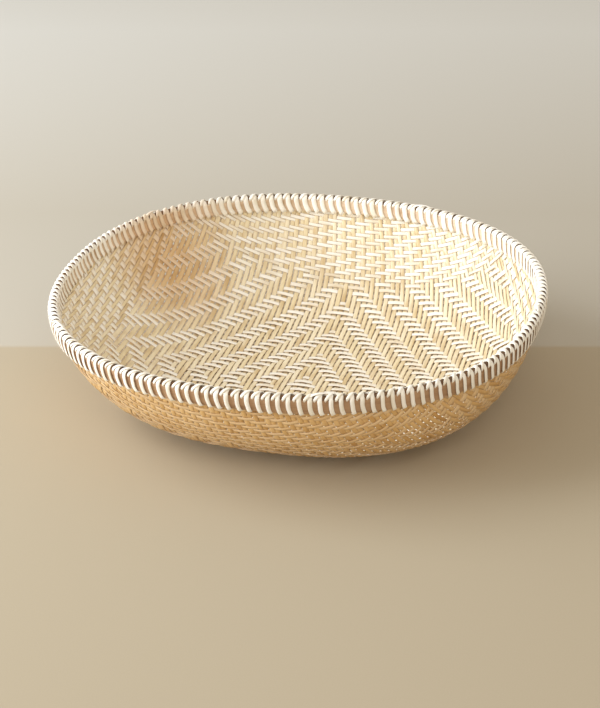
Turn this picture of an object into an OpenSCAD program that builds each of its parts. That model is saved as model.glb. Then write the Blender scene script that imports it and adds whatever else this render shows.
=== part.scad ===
// Round-cornered winnowing basket: a mat of split bamboo strips pressed to a bowl,
// its edge held between two hoops and lashed with peeled cane. Millimetres, +Z up.
// X runs across the basket along the wefts, Y runs front to back along the warps.
// The origin is at table height, straight under the middle of the mouth.

/* [Overall] */
// Width of the mouth over the crest of the rim, along X
mouth_x = 400; // [300:5:520]
// Length of the mouth over the crest of the rim, along Y
mouth_y = 412; // [300:5:520]
// Height from the table to the crown of the lashing
height = 95; // [70:5:140]

/* [Bowl] */
// Squareness of the mouth: 2 is an ellipse, more is squarer
mouth_square = 2.25; // [2:0.05:3]
// Squareness of the bottom of the bowl
floor_square = 2.9; // [2:0.05:3.5]
// Part of the half width that lies flat on the table
rest_part = 0.2; // [0.15:0.05:0.4]
// How late the floor turns up into the wall
floor_reach = 3.6; // [2.5:0.1:5]
// How upright the wall is at the rim
wall_upright = 1.5; // [1.1:0.05:1.9]
// How far the hand-pressed bottom lies off centre, to the right
bottom_shift = 12; // [0:1:16]

/* [Woven strips] */
// Thickness of one layer of split strips
strip_t = 0.9; // [0.6:0.1:1.4]
// Width of the band of finer strips that forms each wall, along the mat
wall_band = 74; // [50:1:90]
// How far the middle of the weave lies to the left of the middle of the mat
weave_shift = 11; // [0:1:20]

/* [Rim hoops] */
// Height of both split-bamboo hoops
hoop_h = 11.5; // [8:0.5:16]
// Thickness of the outer hoop
outer_hoop_t = 2.6; // [1.8:0.1:3.4]
// Thickness of the inner hoop
inner_hoop_t = 2.4; // [1.8:0.1:3.4]
// Height of the cane that covers the cut ends of the mat
cane_h = 2.2; // [1.5:0.1:3]
// Width of that cane
cane_w = 5.4; // [4:0.1:6.5]

/* [Lashing] */
// Width of the peeled-cane strand
strand_w = 3.6; // [2.4:0.1:5]
// Thickness of the strand
strand_t = 0.8; // [0.5:0.1:1.1]
// Distance from one stitch to the next along the rim
stitch_pitch = 7.8; // [6.5:0.1:12]
// Gap between a strand and what it binds
strand_gap = 0.3; // [0.2:0.1:0.6]
// Gap between a hoop and the mat it grips
hoop_gap = 0.05; // [0.02:0.01:0.2]

/* [Hidden] */
lashing_lengths = 5;

half_x = mouth_x / 2;
half_y = mouth_y / 2;
half_mean = (half_x + half_y) / 2;
// The strand lies twice over the cane at the crown of the rim
hoop_top = height - 2 * strand_t - cane_h - strand_gap - hoop_gap;
bowl_h = hoop_top - strip_t;
hoop_bottom = hoop_top - hoop_h;

// Colours
warp_colour = [0.86, 0.74, 0.52];
weft_colour = [0.93, 0.87, 0.73];
hoop_colour = [0.62, 0.46, 0.32];
strand_colour = [0.94, 0.92, 0.85];

// ---- Shape of the bowl ------------------------------------------------------
// rho runs from 0 at the middle to 1 at the mouth, measured flat on the table

function bowl_z(rho) =
    let (e = max(0, (rho - rest_part) / (1 - rest_part)))
    strip_t + bowl_h * (1 - pow(max(0, 1 - pow(min(1, e), floor_reach)), 1 / wall_upright));

// Length of mat from the middle out to rho, as a share of the whole half length
profile_steps = 120;
profile_rho = [for (i = [0:profile_steps]) 1 - pow(1 - i / profile_steps, 2)];
function step_length(i) =
    norm([half_mean * (profile_rho[i] - profile_rho[i - 1]),
          bowl_z(profile_rho[i]) - bowl_z(profile_rho[i - 1])]);
profile_length = [for (i = 0, s = 0; i <= profile_steps; i = i + 1,
                       s = s + (i <= profile_steps ? step_length(i) : 0)) s];
mat_half = profile_length[profile_steps];
mat_to_rho = [for (i = [0:profile_steps]) [profile_length[i] / mat_half, profile_rho[i]]];
height_to_mat = [for (i = [0:profile_steps]) if (profile_rho[i] > rest_part)
                 [bowl_z(profile_rho[i]), profile_length[i] / mat_half]];

// Half sizes of the flat mat along X and Y
mat_x = mat_half * half_x / half_mean;
mat_y = mat_half * half_y / half_mean;

// The shift of the bottom fades out towards the mouth with this power of rho
shift_fade = 8;
function squareness(r) = floor_square + (mouth_square - floor_square) * r;
// Radius of a round-cornered square with half sizes hx and hy, in direction a
function square_radius(a, hx, hy, n) =
    pow(pow(abs(cos(a) / hx), n) + pow(abs(sin(a) / hy), n), -1 / n);

// A point of the mat: r is 0 in the middle and 1 at its edge, a is its direction
function mat_point(r, a) =
    let (rho = lookup(r, mat_to_rho),
         d = rho * square_radius(a, half_x, half_y, squareness(r)))
    [d * cos(a) + bottom_shift * (1 - pow(rho, shift_fade)), d * sin(a), bowl_z(rho)];

// Unit normal that points into the bowl
function mat_normal(r, a) =
    let (e = 0.004,
         s = max(r, 0.02),
         p = mat_point(min(1, s + e), a) - mat_point(s - e, a),
         q = mat_point(s, a + 0.5) - mat_point(s, a - 0.5),
         c = cross(p, q))
    c / norm(c);
function offset_point(r, a, off) = mat_point(r, a) + off * mat_normal(r, a);

// r of a place on the flat mat, found by a few passes because the squareness varies
function mat_r(x, y, r = 0.5, left = 5) =
    left == 0 ? r :
    let (n = squareness(r))
    mat_r(x, y, pow(pow(abs(x / mat_x), n) + pow(abs(y / mat_y), n), 1 / n), left - 1);

// ---- Solids -----------------------------------------------------------------

// Joins rows of points into one closed skin; each row is one closed loop
module ring_solid(loops) {
    n = len(loops);
    m = len(loops[0]);
    polyhedron(
        points = [for (l = loops) for (p = l) p],
        faces = [for (i = [0:n - 1]) for (j = [0:m - 1])
                 let (i2 = (i + 1) % n, j2 = (j + 1) % m)
                 each [[i * m + j, i * m + j2, i2 * m + j2],
                       [i * m + j, i2 * m + j2, i2 * m + j]]]);
}

// A sheet of thickness between two grids of points that match
module sheet_solid(low, high) {
    n = len(low);
    m = len(low[0]);
    k = n * m;
    function at(i, j) = i * m + j;
    polyhedron(
        points = concat([for (row = low) for (p = row) p], [for (row = high) for (p = row) p]),
        faces = concat(
            [for (i = [0:n - 2]) for (j = [0:m - 2])
                each [[at(i, j), at(i + 1, j), at(i + 1, j + 1)],
                      [at(i, j), at(i + 1, j + 1), at(i, j + 1)]]],
            [for (i = [0:n - 2]) for (j = [0:m - 2])
                each [[k + at(i, j), k + at(i + 1, j + 1), k + at(i + 1, j)],
                      [k + at(i, j), k + at(i, j + 1), k + at(i + 1, j + 1)]]],
            [for (i = [0:n - 2]) each [[at(i, 0), k + at(i + 1, 0), at(i + 1, 0)],
                                       [at(i, 0), k + at(i, 0), k + at(i + 1, 0)]]],
            [for (i = [0:n - 2]) each [[at(i, m - 1), at(i + 1, m - 1), k + at(i + 1, m - 1)],
                                       [at(i, m - 1), k + at(i + 1, m - 1), k + at(i, m - 1)]]],
            [for (j = [0:m - 2]) each [[at(0, j), at(0, j + 1), k + at(0, j + 1)],
                                       [at(0, j), k + at(0, j + 1), k + at(0, j)]]],
            [for (j = [0:m - 2]) each [[at(n - 1, j), k + at(n - 1, j + 1), at(n - 1, j + 1)],
                                       [at(n - 1, j), k + at(n - 1, j), k + at(n - 1, j + 1)]]]));
}

// Half length of a strip that lies at distance s from the middle, on a mat with
// half size across along s and half size along along its own run
function strip_half(s, across, along) =
    along * pow(max(0, 1 - pow(abs(s / across), mouth_square)), 1 / mouth_square);

// Cuts along a strip lie closer towards its ends, where the wall is steep
function run_share(j, run_cuts) = sin(90 * (2 * j / run_cuts - 1));

// A band of neighbouring strips, from s0 to s1 across the mat, between two offsets.
// turn is 0 for strips that run along Y and 90 for strips that run along X.
module strip_band(s0, s1, cuts, run_cuts, turn, off0, off1) {
    across = turn == 0 ? mat_x : mat_y;
    along = turn == 0 ? mat_y : mat_x;
    function grid_point(i, j, off) =
        let (s = s0 + (s1 - s0) * i / cuts,
             t = strip_half(s, across, along) * run_share(j, run_cuts),
             x = turn == 0 ? s : t,
             y = turn == 0 ? t : s)
        offset_point(min(1, mat_r(x, y)), atan2(y, x), off);
    function grid(off) = [for (i = [0:cuts]) [for (j = [0:run_cuts]) grid_point(i, j, off)]];
    if (turn == 0) sheet_solid(grid(off0), grid(off1));
    else sheet_solid(grid(off1), grid(off0));
}

// The outermost strip lies this far inside the very edge, within the rim
edge_trim = 3;
strip_cuts = 30;
module warp_band(s0, s1, cuts)
    color(warp_colour) strip_band(s0, s1, cuts, strip_cuts, 0, -strip_t, 0);
module weft_band(s0, s1, cuts)
    color(weft_colour) strip_band(s0, s1, cuts, strip_cuts, 90, 0, strip_t);

module floor_warps()
    warp_band(wall_band - mat_x - weave_shift, mat_x - wall_band - weave_shift, 20);
module left_wall_warps()
    warp_band(edge_trim - mat_x, wall_band - mat_x - weave_shift, 6);
module right_wall_warps()
    warp_band(mat_x - wall_band - weave_shift, mat_x - edge_trim, 6);
module floor_wefts() weft_band(wall_band - mat_y, mat_y - wall_band, 20);
module front_wall_wefts() weft_band(edge_trim - mat_y, wall_band - mat_y, 6);
module back_wall_wefts() weft_band(mat_y - wall_band, mat_y - edge_trim, 6);

// ---- Rim --------------------------------------------------------------------

rim_cuts = 96;
hoop_low = lookup(hoop_bottom, height_to_mat);
// A hoop follows the wall from its lower edge to its upper one
module hoop(off0, off1) {
    levels = [for (i = [0:3]) hoop_low + (1 - hoop_low) * i / 3];
    section = concat([for (r = levels) [r, off0]], [for (i = [3:-1:0]) [levels[i], off1]]);
    ring_solid([for (k = [0:rim_cuts - 1])
                [for (s = section) offset_point(s[0], k * 360 / rim_cuts, s[1])]]);
}
module outer_hoop()
    color(hoop_colour) hoop(-strip_t - hoop_gap, -strip_t - hoop_gap - outer_hoop_t);
module inner_hoop()
    color(hoop_colour) hoop(strip_t + hoop_gap + inner_hoop_t, strip_t + hoop_gap);

// The crest line of the rim and its outward direction in the plane of the mouth
function crest(a) = mat_point(1, a);
function crest_turn(a) =
    let (d = crest(a + 0.5) - crest(a - 0.5)) atan2(d[1], d[0]) - 90;
function crest_out(a) = [cos(crest_turn(a)), sin(crest_turn(a)), 0];

// Half-round cane, laid flat side down on the cut edge of the mat
cane_section = [for (i = [0:6]) let (a = 180 * i / 6)
                [cane_w / 2 * cos(a), hoop_gap + cane_h * sin(a)]];
module edge_cane()
    color(hoop_colour)
    ring_solid([for (k = [0:rim_cuts - 1]) let (a = k * 360 / rim_cuts)
                [for (s = cane_section) crest(a) + s[0] * crest_out(a) + [0, 0, s[1]]]]);

// Stitches are spaced evenly along the crest
crest_cuts = 720;
crest_run = [for (i = 0, s = 0; i <= crest_cuts; i = i + 1,
                  s = s + norm(crest(i * 360 / crest_cuts) - crest((i - 1) * 360 / crest_cuts))) s];
crest_length = crest_run[crest_cuts];
run_to_angle = [for (i = [0:crest_cuts]) [crest_run[i], i * 360 / crest_cuts]];
stitches = round(crest_length / stitch_pitch / lashing_lengths) * lashing_lengths;

// Faces of the strand against the hoops, the mat and the cane, out from the mat
out_face = strip_t + hoop_gap + outer_hoop_t + strand_gap;
in_face = strip_t + hoop_gap + inner_hoop_t + strand_gap;
foot = strip_t + strand_gap;
crown = cane_h + hoop_gap + strand_gap;
crown_half = cane_w / 2;
// The strand passes through the mat just below the hoops
foot_r = hoop_low - strand_gap / mat_half;
tip_r = foot_r - strand_t / mat_half;

// A point at r and off from the mat, seen in the upright plane across the rim at a
function section_point(r, a, off) =
    let (d = offset_point(r, a, off) - crest(a)) [d * crest_out(a), d[2]];
// One leg of a stitch in that plane, from the crown down to low
function leg(a, low, off) = [for (r = [1, (1 + low) / 2, low]) section_point(r, a, off)];
function upward(points) = [for (i = [len(points) - 1:-1:0]) points[i]];

// One stitch: up the outside, twice over the cane, down the inside, and both feet
// turned in under the hoops
function stitch_section(a) = concat(
    [section_point(tip_r, a, -foot)], upward(leg(a, tip_r, -out_face - strand_t)),
    [[crown_half, crown + 2 * strand_t], [-crown_half, crown + 2 * strand_t]],
    leg(a, tip_r, in_face + strand_t), [section_point(tip_r, a, foot)],
    [section_point(foot_r, a, foot)], upward(leg(a, foot_r, in_face)),
    [[-crown_half, crown], [crown_half, crown]],
    leg(a, foot_r, -out_face), [section_point(foot_r, a, -foot)]);

module stitch(a)
    translate(crest(a)) rotate([90, 0, crest_turn(a)])
    linear_extrude(strand_w, center = true) polygon(stitch_section(a));

module lashing_length(n)
    color(strand_colour)
    for (i = [0:stitches / lashing_lengths - 1])
        let (run = crest_length * ((n - 1) / lashing_lengths + (i + 0.5) / stitches))
        stitch(lookup(run, run_to_angle));

floor_warps();
left_wall_warps();
right_wall_warps();
floor_wefts();
front_wall_wefts();
back_wall_wefts();
outer_hoop();
inner_hoop();
edge_cane();
lashing_length(1);  // lashing_length_1
lashing_length(2);  // lashing_length_2
lashing_length(3);  // lashing_length_3
lashing_length(4);  // lashing_length_4
lashing_length(5);  // lashing_length_5
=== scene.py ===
# %% [markdown]
# # A winnowing basket, woven strip by strip
# The real basket is one square mat of split bamboo, pressed into a bowl, with its edge gripped
# between two bent hoops and lashed with peeled cane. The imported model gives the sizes. Here the
# strips, the hoops and the lashing are made again as they are on the real thing, one by one.

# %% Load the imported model
import math

import bpy
import numpy as np
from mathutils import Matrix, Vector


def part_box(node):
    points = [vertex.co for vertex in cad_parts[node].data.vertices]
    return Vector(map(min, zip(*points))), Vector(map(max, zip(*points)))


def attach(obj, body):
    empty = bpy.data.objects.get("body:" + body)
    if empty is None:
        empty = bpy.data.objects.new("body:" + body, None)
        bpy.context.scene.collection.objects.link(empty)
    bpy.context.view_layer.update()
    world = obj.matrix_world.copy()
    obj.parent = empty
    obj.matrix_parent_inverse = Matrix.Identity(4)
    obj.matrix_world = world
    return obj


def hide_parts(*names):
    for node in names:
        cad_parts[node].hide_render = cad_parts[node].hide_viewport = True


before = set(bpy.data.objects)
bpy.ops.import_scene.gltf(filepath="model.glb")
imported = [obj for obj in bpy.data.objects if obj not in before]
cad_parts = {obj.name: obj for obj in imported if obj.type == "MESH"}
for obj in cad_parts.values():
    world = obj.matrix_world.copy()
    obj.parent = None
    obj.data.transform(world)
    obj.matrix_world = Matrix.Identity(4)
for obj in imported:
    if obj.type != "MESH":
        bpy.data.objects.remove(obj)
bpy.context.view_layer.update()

print("packed nodes:", sorted(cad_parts))

# %% [markdown]
# ## Sizes
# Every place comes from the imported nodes. The cane on the edge of the mat shows where the crest
# of the rim runs and how high it lies. The strip, hoop and strand sizes are the maker's own
# sizes in millimetres, and the bowl keeps the curve that the part was drawn with.

# %% Sizes of the basket, in millimetres
MM = 0.001
STRIP_LAYER = 0.9
WALL_BAND = 74.0
WEAVE_SHIFT = 11.0
HOOP_HEIGHT = 11.5
OUTER_HOOP_T = 2.6
INNER_HOOP_T = 2.4
CANE_WIDTH = 5.4
CANE_HEIGHT = 2.2
STRAND_WIDTH = 4.0
STRAND_T = 0.8
STITCHES = 165
LASHING_LENGTHS = 5
CLEARANCE = 0.05
STRAND_GAP = 0.3

cane_low, cane_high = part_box("edge_cane")
HALF_X = (cane_high.x - cane_low.x) / 2 / MM - CANE_WIDTH / 2
HALF_Y = (cane_high.y - cane_low.y) / 2 / MM - CANE_WIDTH / 2
HOOP_TOP = cane_low.z / MM - CLEARANCE
print(f"mouth {2 * HALF_X:.1f} x {2 * HALF_Y:.1f} mm, hoops top out at {HOOP_TOP:.1f} mm")

# %% [markdown]
# ## The pressed mat as a surface
# A mat is flat before it is pressed, so each strip is straight on it. The functions below carry
# a place on the flat mat to its place on the bowl. A lofted surface would do for the shape, but
# only a map from the mat tells where every strip of the weave ends up.

# %% Curve of the bowl
# The part of the half width that lies flat, how late the floor turns up, how upright the rim is.
REST_PART = 0.2
FLOOR_REACH = 3.6
WALL_UPRIGHT = 1.5
# 2 is an ellipse and more is squarer.
MOUTH_SQUARE = 2.25
FLOOR_SQUARE = 2.9
# The bottom lies this far to the right, which fades out towards the mouth with a power of rho.
BOTTOM_SHIFT = 12.0
SHIFT_FADE = 8
HALF_MEAN = (HALF_X + HALF_Y) / 2
CURVE_STEPS = 240


def bowl_z(rho):
    """Height of the bowl; rho is 0 in the middle and 1 at the mouth, measured on the table."""
    e = np.clip((rho - REST_PART) / (1 - REST_PART), 0, 1)
    rise = 1 - np.clip(1 - e ** FLOOR_REACH, 0, 1) ** (1 / WALL_UPRIGHT)
    return STRIP_LAYER + (HOOP_TOP - STRIP_LAYER) * rise


RHO = 1 - (1 - np.linspace(0, 1, CURVE_STEPS + 1)) ** 2
STEPS = np.hypot(HALF_MEAN * np.diff(RHO), np.diff(bowl_z(RHO)))
MAT_RUN = np.concatenate([[0], np.cumsum(STEPS)])
MAT_HALF = MAT_RUN[-1]
MAT_X = MAT_HALF * HALF_X / HALF_MEAN
MAT_Y = MAT_HALF * HALF_Y / HALF_MEAN
print(f"flat mat {2 * MAT_X:.0f} x {2 * MAT_Y:.0f} mm")


# %% From the flat mat to the bowl
RADIUS_PASSES = 6
# A normal is measured over twice this many millimetres, and never quite at the very edge.
NORMAL_STEP = 0.4
EDGE_KEEP = 0.996
TINY = 1e-6


def squareness(r):
    return FLOOR_SQUARE + (MOUTH_SQUARE - FLOOR_SQUARE) * r


def mat_radius(u, v):
    """How far out a place on the mat lies: 0 in the middle, 1 at the edge."""
    r = np.full(np.broadcast(u, v).shape, 0.5)
    for _ in range(RADIUS_PASSES):
        n = squareness(r)
        r = (np.abs(u / MAT_X) ** n + np.abs(v / MAT_Y) ** n) ** (1 / n)
    return r


def at_radius(r, angle):
    """The place on the bowl at a radius and a direction on the mat."""
    n = squareness(r)
    rho = np.interp(r, MAT_RUN / MAT_HALF, RHO)
    size = np.abs(np.cos(angle) / HALF_X) ** n + np.abs(np.sin(angle) / HALF_Y) ** n
    reach = rho * size ** (-1 / n)
    x = reach * np.cos(angle) + BOTTOM_SHIFT * (1 - rho ** SHIFT_FADE)
    return np.stack([x, reach * np.sin(angle), bowl_z(rho)], -1)


def on_bowl(u, v):
    return at_radius(mat_radius(u, v), np.arctan2(v, u))


def bowl_normal(u, v):
    """The way into the bowl, square to the mat, at a place on the mat."""
    r = mat_radius(u, v)
    keep = np.minimum(1.0, EDGE_KEEP / np.maximum(r, TINY))
    u, v = u * keep, v * keep
    du = on_bowl(u + NORMAL_STEP, v) - on_bowl(u - NORMAL_STEP, v)
    dv = on_bowl(u, v + NORMAL_STEP) - on_bowl(u, v - NORMAL_STEP)
    n = np.cross(du, dv)
    return n / np.linalg.norm(n, axis=-1, keepdims=True)


# %% [markdown]
# ## One mesh from many strips
# Each strip is a closed ribbon with a six-sided section: flat faces above and below and a
# thin edge on either side. All ribbons of a group go into one mesh. Besides its shape, every point
# can keep facts for the material: where it lies along and across its own strip (lay), a random
# number that belongs to the whole strip (tone), whether it looks out of the bowl (outside) and how
# near it is to the strip's split edge (edge). No two strips are split from the same place.

# %% Mesh helper
def mesh_piece(name, points, faces, lay, tone, outside=None, edge=None):
    """A mesh object from points in millimetres and quads, with its facts for the material."""
    mesh = bpy.data.meshes.new(name)
    mesh.vertices.add(len(points))
    mesh.vertices.foreach_set("co", (np.asarray(points) * MM).astype(np.float32).ravel())
    faces = np.asarray(faces, np.int32)
    mesh.loops.add(faces.size)
    mesh.loops.foreach_set("vertex_index", faces.ravel())
    mesh.polygons.add(len(faces))
    mesh.polygons.foreach_set("loop_start", np.arange(0, faces.size, faces.shape[1], dtype=np.int32))
    mesh.update(calc_edges=True)
    mesh.polygons.foreach_set("use_smooth", np.full(len(faces), True))
    mesh.attributes.new("lay", "FLOAT_VECTOR", "POINT").data.foreach_set(
        "vector", np.asarray(lay, np.float32).ravel())
    for key, values in (("tone", tone), ("outside", outside), ("edge", edge)):
        if values is not None:
            mesh.attributes.new(key, "FLOAT", "POINT").data.foreach_set(
                "value", np.asarray(values, np.float32).ravel())
    piece = bpy.data.objects.new(name, mesh)
    bpy.context.scene.collection.objects.link(piece)
    print(f"{name}: {len(points)} points, {len(faces)} faces")
    return piece


def tube_faces(rows, sides, first):
    """Faces of a closed ribbon: the sides between rows, and the two ends as stacks of quads."""
    i, j = np.meshgrid(np.arange(rows - 1), np.arange(sides), indexing="ij")
    k = (j + 1) % sides
    a, b = i * sides + j, i * sides + k
    body = np.stack([a, b, b + sides, a + sides], -1).reshape(-1, 4)
    last = (rows - 1) * sides
    ends = []
    for m in range(sides // 2 - 1):
        quad = [m, m + 1, sides - 2 - m, sides - 1 - m]
        ends.append(quad[::-1])
        ends.append([last + q for q in quad])
    return np.concatenate([body, np.array(ends)]) + first


# %% [markdown]
# ## The weave
# The warps run front to back and the wefts run across. The whole mat is a three-over, three-under
# twill. On the floor it steps by one and turns at both middle lines, so it climbs in nested
# diamonds. In the walls the strips are finer and the twill steps by two without turning, which
# reads as bricks, and there the strips draw together in pairs. In the four corners, where fine
# warps meet fine wefts, the floor's draft goes on. Making the ribbons pass over and under gives
# real gaps and highlights that bump cannot give.

# %% Where the strips lie on the mat
rng = np.random.default_rng(11)
FLOOR_WARPS = 69
FLOOR_WEFTS = 49
# Fine strips in each wall, the outermost this far inside the very edge of the mat.
BAND_STRIPS = 21
EDGE_TRIM = 2.0
# By this share a strip has less room at the sides of the floor than in its middle: the wefts were
# beaten up closer towards the walls, the warps lie evenly.
WARP_SPREAD = 0.0
WEFT_SPREAD = 0.28
SPREAD_SAMPLES = 2001


def strip_places(half, floor_count, spread, shift):
    """Places of all strips across the mat, and the room that each has."""
    floor_half = half - WALL_BAND
    x = np.linspace(-1, 1, SPREAD_SAMPLES)
    share = 1 / (1 - spread * x ** 2)
    counted = np.concatenate([[0], np.cumsum((share[1:] + share[:-1]) / 2)])
    counted *= floor_count / counted[-1]
    edges = np.interp(np.arange(floor_count + 1), counted, x * floor_half) - shift
    left = np.linspace(EDGE_TRIM - half, edges[0], BAND_STRIPS + 1)
    right = np.linspace(edges[-1], half - EDGE_TRIM, BAND_STRIPS + 1)
    edges = np.concatenate([left[:-1], edges, right[1:]])
    return (edges[1:] + edges[:-1]) / 2, np.diff(edges)


WARP_AT, WARP_PITCH = strip_places(MAT_X, FLOOR_WARPS, WARP_SPREAD, WEAVE_SHIFT)
WEFT_AT, WEFT_PITCH = strip_places(MAT_Y, FLOOR_WEFTS, WEFT_SPREAD, 0.0)
WARP_NO = np.arange(len(WARP_AT)) - len(WARP_AT) // 2
WEFT_NO = np.arange(len(WEFT_AT)) - len(WEFT_AT) // 2
print(f"{len(WARP_AT)} warps at {WARP_PITCH.max():.2f} mm, {len(WEFT_AT)} wefts at "
      f"{WEFT_PITCH.max():.2f} mm")


# %% The draft: which strip lies on top
FLOAT = 3
REPEAT = 2 * FLOAT


def weft_on_top(i, j):
    """Whether weft j lies on warp i; both are counted from the middle of the mat."""
    in_floor_i = np.abs(i) <= FLOOR_WARPS // 2
    in_floor_j = np.abs(j) <= FLOOR_WEFTS // 2
    twill = (np.abs(i) + np.abs(j)) % REPEAT < FLOAT
    ends = (i - 2 * j) % REPEAT < FLOAT
    sides = (j + 2 * i) % REPEAT < FLOAT
    return np.where(in_floor_i == in_floor_j, twill, np.where(in_floor_j, sides, ends))


# %% Ribbons
RIBBON_T = 0.62
# How far a strip stands off the mat's middle at the end of a float and in the middle of one.
END_LIFT = 0.34
MIDDLE_LIFT = 0.82
# A strip's width as a share of its room: the wide strips of the floor leave small holes.
WARP_FILL = 0.84
WEFT_FILL = 0.64
FINE_FILL = 0.94
# A strip with more room than this is a wide one. Where it climbs into a wall it fills its room
# as a fine one does and is drawn towards its neighbour, over the first millimetres of the wall.
WIDE_PITCH = 4.2
PAIR_DRAW = 0.3
WALL_BLEND = 12.0
# A strip stops short of the edge of the mat, and its last crossing lies a little further in.
END_SHORT = 0.3
LAST_CROSSING = 0.6
# Hand-split strips wander and vary in width. A pair says how far, in millimetres or as a share of
# the width, and along how many millimetres the wave turns by one radian.
WANDER = ((0.1, 23), (0.06, 7))
WIDTH_WAVE = (0.03, 31)
WIDTH_VARIES = (-0.06, 0.04)
# Moves the fibre pattern on from strip to strip.
STRIP_PATTERN_STEP = 37.0
# The section of a strip, as shares of its width and of its thickness.
SECTION_ACROSS = np.array([-0.5, -0.41, 0.41, 0.5, 0.41, -0.41])
SECTION_THROUGH = np.array([0.0, 0.5, 0.5, 0.0, -0.5, -0.5])
STRIP_SIDES = len(SECTION_ACROSS)


def ribbon_rows(run_half, crossings, on_top):
    """Rows of one strip: places along it, and how high it rides above the mat's middle."""
    inside = np.abs(crossings) < run_half - LAST_CROSSING
    t = crossings[inside]
    s = np.where(on_top[inside], 1.0, -1.0)
    padded = np.concatenate([[s[0]], s, [s[-1]]])
    agree = s * (padded[:-2] + padded[2:]) / 2
    high = s * (END_LIFT + (MIDDLE_LIFT - END_LIFT) * np.clip(agree, 0, 1))
    mid_t = (t[:-1] + t[1:]) / 2
    mid_high = (high[:-1] + high[1:]) / 2
    rows_t = np.empty(2 * len(t) - 1)
    rows_h = np.empty(2 * len(t) - 1)
    rows_t[0::2], rows_t[1::2] = t, mid_t
    rows_h[0::2], rows_h[1::2] = high, mid_high
    rows_t = np.concatenate([[-run_half], rows_t, [run_half]])
    rows_h = np.concatenate([[0.0], rows_h, [0.0]])
    return rows_t, rows_h


def weave_group(name, chosen, along_y):
    """One group of neighbouring strips as one mesh."""
    own_at, own_no, pitches = (WARP_AT, WARP_NO, WARP_PITCH) if along_y else (
        WEFT_AT, WEFT_NO, WEFT_PITCH)
    cross_at, cross_no = (WEFT_AT, WEFT_NO) if along_y else (WARP_AT, WARP_NO)
    across, along = (MAT_X, MAT_Y) if along_y else (MAT_Y, MAT_X)
    points_s, points_t, through, lay, tone, faces = [], [], [], [], [], []
    count = 0
    for index in chosen:
        at = own_at[index]
        reach = (1 - abs(at / across) ** MOUTH_SQUARE) ** (1 / MOUTH_SQUARE)
        run_half = along * reach - END_SHORT
        no = own_no[index]
        if along_y:
            on_top = ~weft_on_top(np.full(len(cross_no), no), cross_no)
        else:
            on_top = weft_on_top(cross_no, np.full(len(cross_no), no))
        rows_t, rows_h = ribbon_rows(run_half, cross_at, on_top)
        wave = rng.uniform(0, 2 * math.pi, 2)
        wander = sum(far * np.sin(rows_t / length + turn)
                     for (far, length), turn in zip(WANDER, wave))
        past_floor = np.maximum(rows_t - cross_at[-BAND_STRIPS], cross_at[BAND_STRIPS] - rows_t)
        in_wall = np.clip(past_floor / WALL_BLEND, 0, 1)
        if pitches[index] > WIDE_PITCH:
            wide = WARP_FILL if along_y else WEFT_FILL
            share = wide + (FINE_FILL - wide) * in_wall
            draw = PAIR_DRAW * in_wall
        else:
            share, draw = FINE_FILL, 0.0
        width = pitches[index] * share * (1 + rng.uniform(*WIDTH_VARIES))
        width = width * (1 + WIDTH_WAVE[0] * np.sin(rows_t / WIDTH_WAVE[1] + wave[1]))
        centre = at + wander + draw * (1 if no % 2 == 0 else -1)
        s = centre[:, None] + width[:, None] * SECTION_ACROSS
        t = np.repeat(rows_t[:, None], STRIP_SIDES, 1)
        h = rows_h[:, None] + RIBBON_T * SECTION_THROUGH
        points_s.append(s.ravel())
        points_t.append(t.ravel())
        through.append(h.ravel())
        strip_tone = rng.uniform()
        lay.append(np.stack([t, np.repeat(SECTION_ACROSS[None] * pitches[index], len(rows_t), 0),
                             np.full(t.shape, STRIP_PATTERN_STEP * strip_tone)],
                            -1).reshape(-1, 3))
        tone.append(np.full(t.size, strip_tone))
        faces.append(tube_faces(len(rows_t), STRIP_SIDES, count))
        count += t.size
    s, t, h = (np.concatenate(part) for part in (points_s, points_t, through))
    u, v = (s, t) if along_y else (t, s)
    points = on_bowl(u, v) + bowl_normal(u, v) * h[:, None]
    faces = np.concatenate(faces)
    if along_y:
        faces = faces[:, ::-1]
    outside = np.tile(0.5 - SECTION_THROUGH, len(points) // STRIP_SIDES)
    edge = np.tile(2 * np.abs(SECTION_ACROSS), len(points) // STRIP_SIDES)
    piece = mesh_piece(name, points, faces, np.concatenate(lay), np.concatenate(tone), outside,
                       edge)
    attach(piece, "root")
    return piece


# %% Weave the mat
N_WARPS, N_WEFTS = len(WARP_AT), len(WEFT_AT)
WARP_GROUPS = {
    "floor_warps": range(BAND_STRIPS, N_WARPS - BAND_STRIPS),
    "left_wall_warps": range(0, BAND_STRIPS),
    "right_wall_warps": range(N_WARPS - BAND_STRIPS, N_WARPS),
}
WEFT_GROUPS = {
    "floor_wefts": range(BAND_STRIPS, N_WEFTS - BAND_STRIPS),
    "front_wall_wefts": range(0, BAND_STRIPS),
    "back_wall_wefts": range(N_WEFTS - BAND_STRIPS, N_WEFTS),
}
warps, wefts = [], []
for node, chosen in WARP_GROUPS.items():
    piece = weave_group("woven_" + node, chosen, True)
    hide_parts(node)
    warps.append(piece)
for node, chosen in WEFT_GROUPS.items():
    piece = weave_group("woven_" + node, chosen, False)
    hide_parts(node)
    wefts.append(piece)

# %% [markdown]
# ## The hoops and the cane on the edge
# Both hoops are flat laths of split bamboo, bent round the wall inside and out. Their edges are
# scraped round. The edge of the mat between them is covered by a thinner half-round cane. A curve
# with a bevel would twist on the leaning wall, so the section is laid along the wall point by point.

# %% Places along the rim
RIM_CUTS = 600
RIM_SAMPLES = 2881
# The part of the curve that climbs, where a height belongs to one place only.
CLIMBING = RHO[100:]


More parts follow.
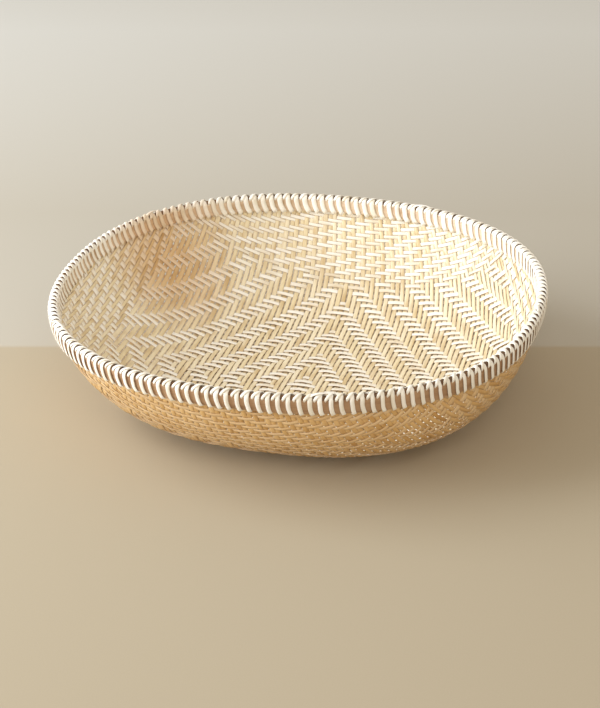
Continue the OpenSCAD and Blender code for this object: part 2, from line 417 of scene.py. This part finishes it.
def wall_point(angle, depth, out):
    """A point that lies depth below the crest of the mat and out from it, square to the wall."""
    z = np.maximum(HOOP_TOP - depth, STRIP_LAYER)
    rho = np.interp(z, bowl_z(CLIMBING), CLIMBING)
    r = np.interp(rho, RHO, MAT_RUN / MAT_HALF)
    u_v = np.stack([np.cos(angle), np.sin(angle)], -1)
    p = at_radius(r, angle)
    n = squareness(r)
    size = np.abs(np.cos(angle) / MAT_X) ** n + np.abs(np.sin(angle) / MAT_Y) ** n
    on_mat = u_v * (r * size ** (-1 / n))[..., None]
    return p - bowl_normal(on_mat[..., 0], on_mat[..., 1]) * np.asarray(out)[..., None]


RIM_ANGLES = np.linspace(0, 2 * math.pi, RIM_SAMPLES)
RIM_LINE = at_radius(np.ones_like(RIM_ANGLES), RIM_ANGLES)
RIM_RUN = np.concatenate([[0], np.cumsum(np.linalg.norm(np.diff(RIM_LINE, axis=0), axis=1))])
PITCH = RIM_RUN[-1] / STITCHES
print(f"rim {RIM_RUN[-1]:.0f} mm round, a stitch each {PITCH:.2f} mm")


def angle_at(run):
    """The direction in which a run along the rim ends."""
    return np.interp(np.mod(run, RIM_RUN[-1]), RIM_RUN, RIM_ANGLES)


def rim_place(run, out, up):
    """A point of the rim: run along it, out from the edge of the mat, up from it."""
    run, out, up = np.broadcast_arrays(run, out, up)
    angle = angle_at(run)
    low = wall_point(angle, np.maximum(-up, 0), out)
    return low + np.stack([0 * up, 0 * up, np.maximum(up, 0)], -1)


# %% Hoops
# Radius of a hoop's scraped edges.
HOOP_CORNER = 0.7
CORNER_STEPS = 3
# A hand-split hoop strays a little up and down: millimetres, and the waves that this is made of,
# each with its share, how many go round the rim, and where it starts.
HOOP_STRAY = 0.08
STRAY_WAVES = ((1.0, 5, 1.0), (0.6, 13, 2.0))
CANE_SIDES = 8
# Each ring is of one stalk, so it has the middle tone all round.
MIDDLE_TONE = 0.5


def rounded_section(width, height, corner):
    """Corner-rounded oblong as (out, up) pairs, around its own middle."""
    turns = np.linspace(0, math.pi / 2, CORNER_STEPS + 1)
    section = []
    for k, (sx, sy) in enumerate([(1, 1), (-1, 1), (-1, -1), (1, -1)]):
        a = turns + k * math.pi / 2
        section.append(np.stack([sx * (width / 2 - corner) + corner * np.cos(a),
                                 sy * (height / 2 - corner) + corner * np.sin(a)], -1))
    return np.concatenate(section)


def ring_faces(rows, sides):
    """Faces of a ring that closes on itself."""
    i, j = np.meshgrid(np.arange(rows), np.arange(sides), indexing="ij")
    i2, j2 = (i + 1) % rows, (j + 1) % sides
    return np.stack([i * sides + j, i * sides + j2, i2 * sides + j2, i2 * sides + j],
                    -1).reshape(-1, 4)


def rim_ring(name, node, section, middle, most):
    """A ring with one section all round; most is how far it strays, in millimetres."""
    run = np.linspace(0, RIM_RUN[-1], RIM_CUTS, endpoint=False)
    turn = run / RIM_RUN[-1] * 2 * math.pi
    stray = most * sum(share * np.sin(waves * turn + start)
                       for share, waves, start in STRAY_WAVES)
    out = middle[0] + section[None, :, 0]
    up = middle[1] + section[None, :, 1] + stray[:, None]
    points = rim_place(run[:, None], out, up)
    sides = len(section)
    around = np.linspace(0, 1, sides, endpoint=False)
    lay = np.stack([np.repeat(run[:, None], sides, 1), np.repeat(section[None, :, 1], RIM_CUTS, 0),
                    np.repeat(around[None], RIM_CUTS, 0)], -1)
    piece = mesh_piece(name, points.reshape(-1, 3), ring_faces(RIM_CUTS, sides)[:, ::-1],
                       lay.reshape(-1, 3), np.full(RIM_CUTS * sides, MIDDLE_TONE))
    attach(piece, "root")
    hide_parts(node)
    return piece


outer_mid = STRIP_LAYER + CLEARANCE + OUTER_HOOP_T / 2
inner_mid = STRIP_LAYER + CLEARANCE + INNER_HOOP_T / 2
hoops = [
    rim_ring("bent_outer_hoop", "outer_hoop",
             rounded_section(OUTER_HOOP_T, HOOP_HEIGHT, HOOP_CORNER),
             (outer_mid, -HOOP_HEIGHT / 2), HOOP_STRAY),
    rim_ring("bent_inner_hoop", "inner_hoop",
             rounded_section(INNER_HOOP_T, HOOP_HEIGHT, HOOP_CORNER),
             (-inner_mid, -HOOP_HEIGHT / 2), HOOP_STRAY),
]
HALF_ROUND = np.array([[CANE_WIDTH / 2 * math.cos(a), CLEARANCE + CANE_HEIGHT * math.sin(a)]
                       for a in np.linspace(0, math.pi, CANE_SIDES + 1)])
edge_cane = rim_ring("laid_edge_cane", "edge_cane", HALF_ROUND, (0, 0), 0.0)

# %% [markdown]
# ## The lashing
# One peeled strand after another is taken round the rim. The loop of each stitch comes through
# the mat under the outer hoop, stands upright outside, goes over the cane and down the inner hoop,
# and its feet lean away to the neighbouring stitches. On top a narrower strand runs slantwise over
# the crest from stitch to stitch, which makes the plait. The tail of each new length lies over the
# first stitches. A texture cannot stand up from the hoops like that, so every stitch is a mesh.


# %% Strands
# The strand on the crest is this much of the width of the loops.
CREST_NARROW = 0.68
LOOP_ROWS = 42
CREST_ROWS = 20
TAIL_ROWS = 14
# The hand that wound it: how far stitches and knots stray (millimetres and pitches), the widths.
STITCH_STRAY = 0.35
KNOT_STRAY = 0.025
WIDTH_FROM_TO = (0.93, 1.05)
# A strand is a little wider where it lies on the inner hoop than where it lies on the outer one.
INSIDE_WIDER = 1.1
OUTSIDE_NARROWER = 0.88
# The strand turns its face away from a line this far below the edge of the mat.
CORE_DEPTH = 1.5
# The feet of a loop turn in this far under the hoops.
FOOT_BELOW = 0.6
STITCH_PATTERN_STEP = 29.0
JUST_BEFORE = 1e-9


def smooth_path(knots, rows):
    """A curve through the knots, evenly sampled."""
    k = np.asarray(knots, float)
    k = np.concatenate([[2 * k[0] - k[1]], k, [2 * k[-1] - k[-2]]])
    out = []
    spans = len(k) - 3
    for x in np.linspace(0, spans - JUST_BEFORE, rows):
        i = int(x)
        f = x - i
        p0, p1, p2, p3 = k[i:i + 4]
        out.append(0.5 * (2 * p1 + (p2 - p0) * f + (2 * p0 - 5 * p1 + 4 * p2 - p3) * f * f
                          + (3 * p1 - p0 - 3 * p2 + p3) * f ** 3))
    return np.array(out)


OUT_FACE = STRIP_LAYER + CLEARANCE + OUTER_HOOP_T + STRAND_GAP + STRAND_T / 2
IN_FACE = STRIP_LAYER + CLEARANCE + INNER_HOOP_T + STRAND_GAP + STRAND_T / 2
CROWN = CLEARANCE + CANE_HEIGHT + STRAND_GAP + STRAND_T / 2
LOW = -HOOP_HEIGHT - FOOT_BELOW
# Knots of the passes: pitches along the rim, millimetres out, millimetres up.
LOOP_PASS = [(0.24, OUT_FACE - 1.9, LOW - 0.5), (0.18, OUT_FACE - 0.15, LOW + 0.7),
             (0.07, OUT_FACE + 0.1, LOW * 0.68), (0.01, OUT_FACE + 0.1, LOW * 0.34),
             (0.0, OUT_FACE - 0.1, -0.4), (0.0, OUT_FACE - 1.3, CROWN * 0.62),
             (0.0, 1.2, CROWN * 0.97), (0.0, -1.0, CROWN * 0.97),
             (0.0, 1.2 - IN_FACE, CROWN * 0.62), (0.0, -IN_FACE, -0.4),
             (-0.04, -IN_FACE - 0.1, LOW * 0.34), (-0.14, -IN_FACE - 0.1, LOW * 0.68),
             (-0.32, 0.15 - IN_FACE, LOW + 0.7), (-0.42, 1.9 - IN_FACE, LOW - 0.5)]
CREST_PASS = [(-0.36, OUT_FACE - 2.2, -0.9), (-0.46, OUT_FACE - 0.7, 0.0),
              (-0.40, OUT_FACE - 0.7, CROWN * 0.55), (-0.20, 2.3, CROWN + 0.35),
              (0.03, 0.2, CROWN + 0.85), (0.24, -1.8, CROWN + 0.35),
              (0.40, 0.7 - IN_FACE, CROWN * 0.55), (0.46, 0.7 - IN_FACE, 0.0),
              (0.36, 2.2 - IN_FACE, -0.9)]
# The tail of each new length lies over the crest, from one stitch to the next but one.
TAIL_PASS = [(-1.0, 1.9, CROWN - 0.3), (-0.55, 1.3, CROWN + 1.2), (0.0, 0.3, CROWN + 1.7),
             (0.55, -0.9, CROWN + 1.2), (1.0, -1.7, CROWN - 0.3)]
# The section of a strand, as shares of its width and of its thickness: round on its upper side.
STRAND_ACROSS = np.array([-0.5, -0.38, 0.0, 0.38, 0.5, 0.38, 0.0, -0.38])
STRAND_THROUGH = np.array([0.0, 0.42, 0.55, 0.42, 0.0, -0.4, -0.45, -0.4])
STRAND_SIDES = len(STRAND_ACROSS)


def strand(knots, run, width, rows):
    """Points of one strand at run along the rim, laid flat against what it wraps."""
    path = smooth_path(knots, rows)
    at = run + path[:, 0] * PITCH
    centre = rim_place(at, path[:, 1], path[:, 2])
    core = rim_place(at, np.zeros(rows), np.full(rows, -CORE_DEPTH))
    core[:, 2] = np.minimum(core[:, 2], centre[:, 2])
    deep = path[:, 2] < -CORE_DEPTH
    core[deep] = rim_place(at[deep], np.zeros(deep.sum()), path[deep, 2])
    along = np.gradient(centre, axis=0)
    along /= np.linalg.norm(along, axis=1, keepdims=True)
    face = centre - core
    face -= (face * along).sum(1, keepdims=True) * along
    face /= np.linalg.norm(face, axis=1, keepdims=True)
    side = np.cross(along, face)
    spread = width * np.interp(path[:, 1], [-IN_FACE, OUT_FACE],
                               [INSIDE_WIDER, OUTSIDE_NARROWER])
    points = (centre[:, None] + side[:, None] * (STRAND_ACROSS * spread[:, None])[:, :, None]
              + face[:, None] * (STRAND_THROUGH * STRAND_T)[None, :, None])
    length = np.concatenate([[0], np.cumsum(np.linalg.norm(np.diff(centre, axis=0), axis=1))])
    return points, length


def lashing_piece(number):
    """One length of the lashing, all its stitches as one mesh."""
    points, faces, lay, tone = [], [], [], []
    count = 0
    each = STITCHES // LASHING_LENGTHS
    for k in range(each):
        run = RIM_RUN[-1] * ((number - 1) / LASHING_LENGTHS + (k + 0.5) / STITCHES)
        run += rng.uniform(-STITCH_STRAY, STITCH_STRAY)
        shade = rng.uniform()
        width = STRAND_WIDTH * rng.uniform(*WIDTH_FROM_TO)
        passes = [(LOOP_PASS, LOOP_ROWS, width), (CREST_PASS, CREST_ROWS, width * CREST_NARROW)]
        if k == 0:
            passes.append((TAIL_PASS, TAIL_ROWS, width * CREST_NARROW))
        for knots, rows, wide in passes:
            bent = np.array(knots)
            bent[:, 0] += rng.uniform(-KNOT_STRAY, KNOT_STRAY, len(bent))
            p, length = strand(bent, run, wide, rows)
            points.append(p.reshape(-1, 3))
            faces.append(tube_faces(rows, STRAND_SIDES, count))
            lay.append(np.stack([np.repeat(length[:, None], STRAND_SIDES, 1),
                                 np.repeat(STRAND_ACROSS[None] * wide, rows, 0),
                                 np.full((rows, STRAND_SIDES), STITCH_PATTERN_STEP * shade)],
                                -1).reshape(-1, 3))
            tone.append(np.full(rows * STRAND_SIDES, shade))
            count += rows * STRAND_SIDES
    piece = mesh_piece(f"plaited_lashing_{number}", np.concatenate(points), np.concatenate(faces),
                       np.concatenate(lay), np.concatenate(tone))
    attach(piece, "root")
    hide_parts(f"lashing_length_{number}")
    return piece


lashings = [lashing_piece(number) for number in range(1, LASHING_LENGTHS + 1)]

# %% [markdown]
# ## Colour and finish
# Colours are picked as sRGB hex values, as on a paint card, and turned to the linear values that
# Blender calculates with. One helper adds a node with its settings and links.


# %% Material helpers
def linear(hex_colour):
    """The linear colour, with full alpha, of an sRGB hex value."""
    channels = [int(hex_colour[i:i + 2], 16) / 255 for i in (1, 3, 5)]
    curve = [c / 12.92 if c <= 0.04045 else ((c + 0.055) / 1.055) ** 2.4 for c in channels]
    return (*curve, 1.0)


def add(tree, kind, inputs=None, **settings):
    """Adds a node. inputs maps a socket to a value or to another node's output."""
    node = tree.nodes.new(kind)
    for key, value in settings.items():
        setattr(node, key, value)
    for key, value in (inputs or {}).items():
        if isinstance(value, bpy.types.NodeSocket):
            tree.links.new(value, node.inputs[key])
        else:
            node.inputs[key].default_value = value
    return node


def new_material(name):
    """A material with its shader wired to the output and nothing else."""
    material = bpy.data.materials.new(name)
    material.use_nodes = True
    tree = material.node_tree
    tree.nodes.clear()
    shader = add(tree, "ShaderNodeBsdfPrincipled")
    add(tree, "ShaderNodeOutputMaterial", {"Surface": shader.outputs[0]})
    return material, tree, shader


def attribute(tree, name):
    """The node that reads one of the facts kept on the points."""
    return add(tree, "ShaderNodeAttribute", attribute_name=name)


def ramp(tree, value, low, high, to_low=0.0, to_high=1.0):
    """Brings a value that runs from low to high to one that runs from to_low to to_high."""
    step = add(tree, "ShaderNodeMapRange", {"Value": value, "From Min": low, "From Max": high,
                                            "To Min": to_low, "To Max": to_high})
    return step.outputs[0]


def pattern(tree, where, rate, **settings):
    """Noise over places along and across a strip that are first scaled by rate."""
    scaled = add(tree, "ShaderNodeVectorMath", {0: where, 1: rate}, operation="MULTIPLY")
    inputs = {"Vector": scaled.outputs[0], "Scale": 1.0}
    return add(tree, "ShaderNodeTexNoise", inputs | settings).outputs["Fac"]


def mix_colours(tree, factor, a, b, blend="MIX"):
    """Mixes two colours and gives back the socket that holds the result."""
    mix = add(tree, "ShaderNodeMix", {0: factor, 6: a, 7: b}, data_type="RGBA", blend_type=blend)
    return mix.outputs[2]


# %% [markdown]
# ### Split bamboo
# Bamboo is split along its fibres, so colour and gloss run lengthwise in streaks of about
# 0.5 mm. The skin side is smooth and shines, and each strip has its own shade of straw. The streaks
# follow the strip because the material reads the place along and across it. The side that looks
# out of the bowl is a warmer straw. The split edges of a strip get a painted brown shade for the
# shadow in the gaps, and the back left corner, where the strips bunch, gets a painted brown shade.
# Hoops, cane and lashing have no outside and no split edge, so those two steps leave them alone.


# %% Split bamboo strips
OUTSIDE_STRAW = "#EBCDA4"
# Painted shade: the split edges are darkened towards this brown for the shadow in the gaps between
# strips.
EDGE_SHADE_BROWN = "#A8793E"
# Painted shade: the back left corner, where the strips bunch, is darkened towards this brown.
CORNER_SHADE_BROWN = "#DDB47E"
# The painted shade of the back left corner in metres: its middle, where it begins to show and where
# it is darkest.
SHADED_CORNER_AT = (-0.136, 0.101, 0.070)
CORNER_SHADE_FROM, CORNER_SHADE_TO = 0.075, 0.02
CORNER_SHADE_MOST = 0.8
# How fast the fibres and the stained patches change along, across and from strip to strip.
FIBRE_RATE = (0.035, 2.0, 1.0)
PATCH_RATE = (0.03, 0.1, 1.0)
# Between which values of the noise a patch or a dark fibre fades in, and how dark a patch gets.
PATCH_FADE = (0.48, 0.72)
PATCH_MOST = 0.7
FIBRE_FADE = (0.52, 0.78)
# Pale fibres shine a little more than the roughness says, and dark ones less.
SHINE_FADE = (0.3, 0.7)
GLOSSIER, DULLER = 0.08, 0.14
# Where a strip's section begins to look out of the bowl, and where the painted shade of its split
# edge begins.
OUTSIDE_FADE = (0.5, 0.8)
EDGE_FADE = (0.83, 1.0)
EDGE_MOST = 0.85
FIBRE_HEIGHT = 0.00015
FIBRE_BUMP = 0.35
BAMBOO_IOR = 1.5


def split_bamboo(name, pale, mid, dark, roughness, streak):
    """Split bamboo or cane: a shade by strip, dark patches and streaks, and a roughness."""
    material, tree, shader = new_material(name)
    lay = attribute(tree, "lay").outputs["Vector"]
    fibre = pattern(tree, lay, FIBRE_RATE, Detail=3.0, Roughness=0.6)
    patch = pattern(tree, lay, PATCH_RATE, Detail=2.0)
    tone = attribute(tree, "tone").outputs["Fac"]
    colour = mix_colours(tree, tone, linear(pale), linear(mid))
    patched = ramp(tree, patch, *PATCH_FADE, to_high=PATCH_MOST)
    colour = mix_colours(tree, patched, colour, linear(dark))
    streaked = ramp(tree, fibre, *FIBRE_FADE, to_high=streak)
    colour = mix_colours(tree, streaked, colour, linear(dark))
    turned_out = ramp(tree, attribute(tree, "outside").outputs["Fac"], *OUTSIDE_FADE)
    colour = mix_colours(tree, turned_out, colour, linear(OUTSIDE_STRAW), "MULTIPLY")
    # Painted shade: everything near the back left corner is darkened towards brown.
    here = add(tree, "ShaderNodeNewGeometry")
    away = add(tree, "ShaderNodeVectorMath", {0: here.outputs["Position"], 1: SHADED_CORNER_AT},
               operation="DISTANCE")
    painted_corner_shade = ramp(tree, away.outputs["Value"], CORNER_SHADE_FROM, CORNER_SHADE_TO, to_high=CORNER_SHADE_MOST)
    colour = mix_colours(tree, painted_corner_shade, colour, linear(CORNER_SHADE_BROWN), "MULTIPLY")
    # Painted shade along the split edges of each strip, for the shadow in the gaps.
    painted_edge_shade = ramp(tree, attribute(tree, "edge").outputs["Fac"], *EDGE_FADE, to_high=EDGE_MOST)
    colour = mix_colours(tree, painted_edge_shade, colour, linear(EDGE_SHADE_BROWN))
    gloss = ramp(tree, fibre, *SHINE_FADE, roughness - GLOSSIER, roughness + DULLER)
    bump = add(tree, "ShaderNodeBump", {"Strength": FIBRE_BUMP, "Distance": FIBRE_HEIGHT,
                                        "Height": fibre})
    tree.links.new(colour, shader.inputs["Base Color"])
    tree.links.new(gloss, shader.inputs["Roughness"])
    tree.links.new(bump.outputs[0], shader.inputs["Normal"])
    shader.inputs["IOR"].default_value = BAMBOO_IOR
    return material


warp_bamboo = split_bamboo("split_bamboo_straw", "#F7EDD2", "#EBDBB4", "#C8A870", 0.36, 0.45)
weft_bamboo = split_bamboo("split_bamboo_pale", "#FFFEFA", "#FAF7EC", "#E2CFAC", 0.25, 0.3)
# Both hoops are the same split bamboo: the outer one gets a painted shade of brown, the inner one a
# paler painted light.
shaded_outer_lath = split_bamboo("split_bamboo_outer_lath", "#BE9C7A", "#AC8766", "#85603F", 0.55, 0.6)
# Painted shade: the edge cane is coloured dark brown for the shaded gap under the lashing.
shaded_dark_cane = split_bamboo("split_cane_painted_shade", "#8C6A48", "#6E4F33", "#4A3220", 0.6, 0.5)
lit_inner_lath = split_bamboo("split_bamboo_inner_lath", "#E9D4BC", "#DCC3A6", "#B4906A", 0.5, 0.5)
peeled_cane = split_bamboo("peeled_cane_strand", "#FFFDF8", "#F8F5EC", "#DED2B8", 0.33, 0.3)
for piece in warps:
    piece.data.materials.append(warp_bamboo)
for piece in wefts:
    piece.data.materials.append(weft_bamboo)
hoops[0].data.materials.append(shaded_outer_lath)
hoops[1].data.materials.append(lit_inner_lath)
edge_cane.data.materials.append(shaded_dark_cane)
for piece in lashings:
    piece.data.materials.append(peeled_cane)

# %% [markdown]
# ## Floor, light and camera
# The basket stands on plain paper that turns paler behind it, and a painted light makes the paper
# paler still far back. A large soft light on the left, a warmer one from the front and a low one on
# the left that reaches into the bowl and along its outside keep the weave readable. The world adds a
# warm fill. The camera looks down at 23.5 degrees and is turned 15 degrees, so it stands at the
# front, to the right.

# %% Camera
# The camera turns about a point 2 mm above the hoops, from this many metres away, and aims a
# little below it. The lens is this many times as long as the picture is wide.
RIM_Z = HOOP_TOP * MM + 0.002
DISTANCE = 2.0
LOOK_DOWN = math.radians(23.5)
TURN = math.radians(15)
AIM_LOWER = math.radians(1.615)
SENSOR_WIDTH = 36
LENS_PER_WIDTH = 3.99
heading = np.array([-math.sin(TURN), math.cos(TURN)])
camera_data = bpy.data.cameras.new("camera")
camera_data.sensor_width = SENSOR_WIDTH
camera_data.sensor_fit = "HORIZONTAL"
camera_data.lens = SENSOR_WIDTH * LENS_PER_WIDTH
camera = bpy.data.objects.new("camera", camera_data)
camera.location = (-heading[0] * DISTANCE * math.cos(LOOK_DOWN),
                   -heading[1] * DISTANCE * math.cos(LOOK_DOWN),
                   RIM_Z + DISTANCE * math.sin(LOOK_DOWN))
camera.rotation_euler = (math.pi / 2 - LOOK_DOWN - AIM_LOWER, 0, TURN)
bpy.context.scene.collection.objects.link(camera)
bpy.context.scene.camera = camera

# %% Floor and backdrop
# Metres behind the middle of the mouth: where the paper changes, and where its painted light makes
# it paler.
SEAM_FROM, SEAM_TO = 0.078, 0.084
PALER_FROM, PALER_TO = 0.4, 1.0
PAPER_GRAIN = 900.0
PAPER_ROUGHNESS = 0.9
PAPER_SIZE = 12
floor_material, tree, shader = new_material("matt_paper_floor")
here = add(tree, "ShaderNodeNewGeometry")
depth = add(tree, "ShaderNodeVectorMath", {0: here.outputs["Position"],
                                           1: (heading[0], heading[1], 0)},
            operation="DOT_PRODUCT")
behind_seam = ramp(tree, depth.outputs["Value"], SEAM_FROM, SEAM_TO)
grain = add(tree, "ShaderNodeTexNoise", {"Vector": here.outputs["Position"],
                                         "Scale": PAPER_GRAIN, "Detail": 2.0})
table = mix_colours(tree, grain.outputs["Fac"], linear("#B0A58F"), linear("#B6AB96"))
# Painted light: the backdrop is coloured paler further back.
painted_light_far_back = ramp(tree, depth.outputs["Value"], PALER_FROM, PALER_TO)
backdrop = mix_colours(tree, painted_light_far_back, linear("#BBB6AA"), linear("#D6D7D4"))
colour = mix_colours(tree, behind_seam, table, backdrop)
tree.links.new(colour, shader.inputs["Base Color"])
shader.inputs["Roughness"].default_value = PAPER_ROUGHNESS
bpy.ops.mesh.primitive_plane_add(size=PAPER_SIZE, location=(0, 0, 0))
floor = bpy.context.object
floor.name = "studio_floor"
floor.data.materials.append(floor_material)


# %% Lights
# All lights aim at the middle of the bowl.
LIGHTS_AIM = (0, 0, 0.05)
WORLD_STRENGTH = 0.62


def soft_light(name, place, size, power, tint):
    """A square light of a size in metres and a power in watts."""
    data = bpy.data.lights.new(name, "AREA")
    data.shape = "SQUARE"
    data.size = size
    data.energy = power
    data.color = linear(tint)[:3]
    light = bpy.data.objects.new(name, data)
    light.location = place
    way = np.array(LIGHTS_AIM) - np.array(place)
    flat = math.hypot(way[0], way[1])
    light.rotation_euler = (math.atan2(flat, -way[2]), 0, math.atan2(way[1], way[0]) - math.pi / 2)
    bpy.context.scene.collection.objects.link(light)


soft_light("key_left", (-1.4, -0.3, 0.95), 1.3, 25, "#F3F9FF")
soft_light("fill_front", (1.2, -2.4, 1.8), 1.6, 24, "#FFF6E8")
soft_light("low_left", (-2.0, -1.0, 0.4), 0.9, 36, "#F3F9FF")
world = bpy.data.worlds.new("studio")
world.use_nodes = True
bpy.context.scene.world = world
background = world.node_tree.nodes["Background"]
background.inputs["Color"].default_value = linear("#FFF2DF")
background.inputs["Strength"].default_value = WORLD_STRENGTH
bpy.context.scene.view_settings.view_transform = "Standard"
